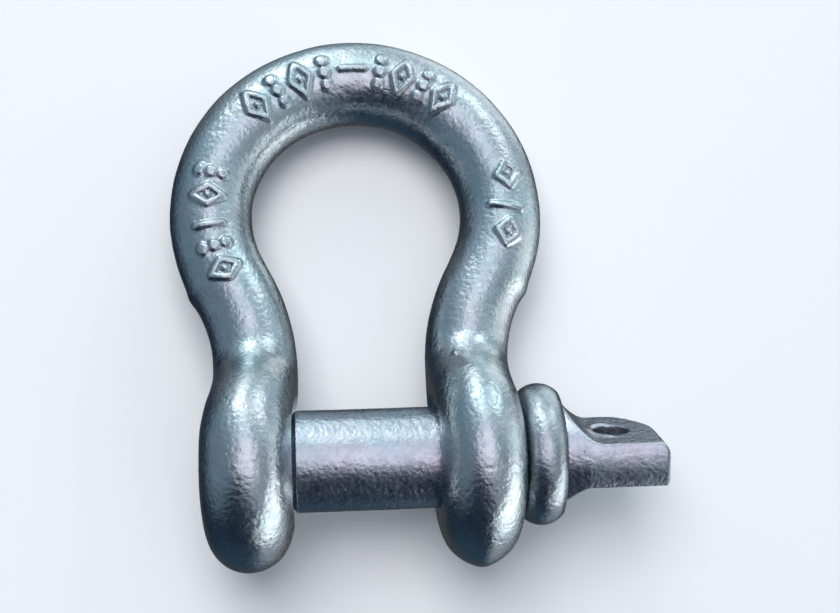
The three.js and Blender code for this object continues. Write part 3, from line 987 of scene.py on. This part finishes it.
def make_world():
    """A dim room with soft glows, and its floor's shade from straight below."""
    world = bpy.data.worlds.new("studio")
    bpy.context.scene.world = world
    n = Surroundings(world)
    direction = n.add("TexCoord").outputs["Generated"]
    light = DIM_ROOM
    for tilt, azimuth, core, edge, colour in GLOWS:
        low, high = math.cos(math.radians(edge)), math.cos(math.radians(core))
        share = n.share(direction, from_above(tilt, azimuth), low, high)
        glow = n.add("VectorMath", {0: colour, "Scale": share}, operation="SCALE").outputs["Vector"]
        light = n.add("VectorMath", {0: light, 1: glow}, operation="ADD").outputs["Vector"]
    below = n.share(direction, (0, 0, -1), *UNDERSIDE_FADE)
    mixed = n.mix_colour(below, light, (*UNDERSIDE, 1))
    background = n.add("Background", {"Color": mixed})
    n.add("OutputWorld", {"Surface": background.outputs["Background"]})


FILL_PLACE = (-0.1, 0.25, 0.8)  # metres
FILL_SIZE = 0.5
FILL_POWER = 4.3  # watts


def make_fill():
    """A wide soft lamp overhead that lights the floor, which the metal doesn't mirror."""
    data = bpy.data.lights.new("fill", "AREA")
    data.size = FILL_SIZE
    data.energy = FILL_POWER
    lamp = bpy.data.objects.new("fill", data)
    bpy.context.scene.collection.objects.link(lamp)
    lamp.location = FILL_PLACE
    lamp.rotation_euler = lamp.location.to_track_quat("Z", "Y").to_euler()
    lamp.visible_glossy = False


# The viewer stands almost straight over the shackle, a little towards the pin. The place and turns
# are in the shackle's own frame, in millimetres and radians.
CAMERA_PLACE = (-7.884, -55.653, 267.057)
CAMERA_TURNS = {"Y": -0.0736, "X": 0.3094, "Z": -0.0494}
CAMERA_LENS = 61.71
SENSOR_WIDTH = 36
CLIP_START = 0.01  # metres


def make_camera():
    """The camera, placed in the shackle's frame and laid down with it."""
    data = bpy.data.cameras.new("camera")
    data.sensor_fit = "HORIZONTAL"
    data.sensor_width = SENSOR_WIDTH
    data.lens = CAMERA_LENS
    data.clip_start = CLIP_START
    camera = bpy.data.objects.new("camera", data)
    bpy.context.scene.collection.objects.link(camera)
    turn = Matrix.Identity(4)
    for axis, angle in CAMERA_TURNS.items():
        turn = turn @ Matrix.Rotation(angle, 4, axis)
    place = LAY_DOWN @ (Vector(CAMERA_PLACE) * MM)
    camera.matrix_world = Matrix.Translation(place) @ LAY_DOWN.to_3x3().to_4x4() @ turn
    bpy.context.scene.camera = camera


# ---------- scene ----------

make_camera()
make_floor()
make_world()
make_fill()
bpy.context.scene.view_settings.view_transform = "Standard"

# Painted shade on both sides of the collar, where it meets the ear and the shoulder, and at the eye's far
# end
collar_left, collar_right = (corner.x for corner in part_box("pin_collar"))
eye_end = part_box("screw_pin")[1].x

bow_zinc = zinc(
    "bow_zinc",
    cool=(0.58, 0.68, 0.70, 1),
    warm=(0.68, 0.67, 0.70, 1),
    roughness=0.26,
    grain=0.9,
)
# The collar's colours are darker than the bow's: painted shade for the shoulder shading it
collar_zinc = zinc(
    "collar_zinc",
    cool=(0.49, 0.57, 0.59, 1),
    warm=(0.57, 0.56, 0.60, 1),
    roughness=0.28,
    grain=0.9,
    painted_shade=[
        (collar_left + 0.4 * MM, collar_left + 1.3 * MM, 0.9),
        (collar_right - 0.2 * MM, collar_right - 0.8 * MM, 0.8),
    ],
)
pin_zinc = zinc(
    "pin_zinc",
    cool=(0.54, 0.60, 0.66, 1),
    warm=(0.61, 0.58, 0.64, 1),
    roughness=0.28,
    grain=0.75,
    painted_shade=[(eye_end - 0.2 * MM, eye_end - 0.9 * MM, 0.75)],
)

finish_piece(make_bow(), "bow", "bow", bow_zinc)
finish_piece(make_collar(), "collar", "pin_collar", collar_zinc)
finish_piece(make_screw_pin(), "pin", "screw_pin", pin_zinc)
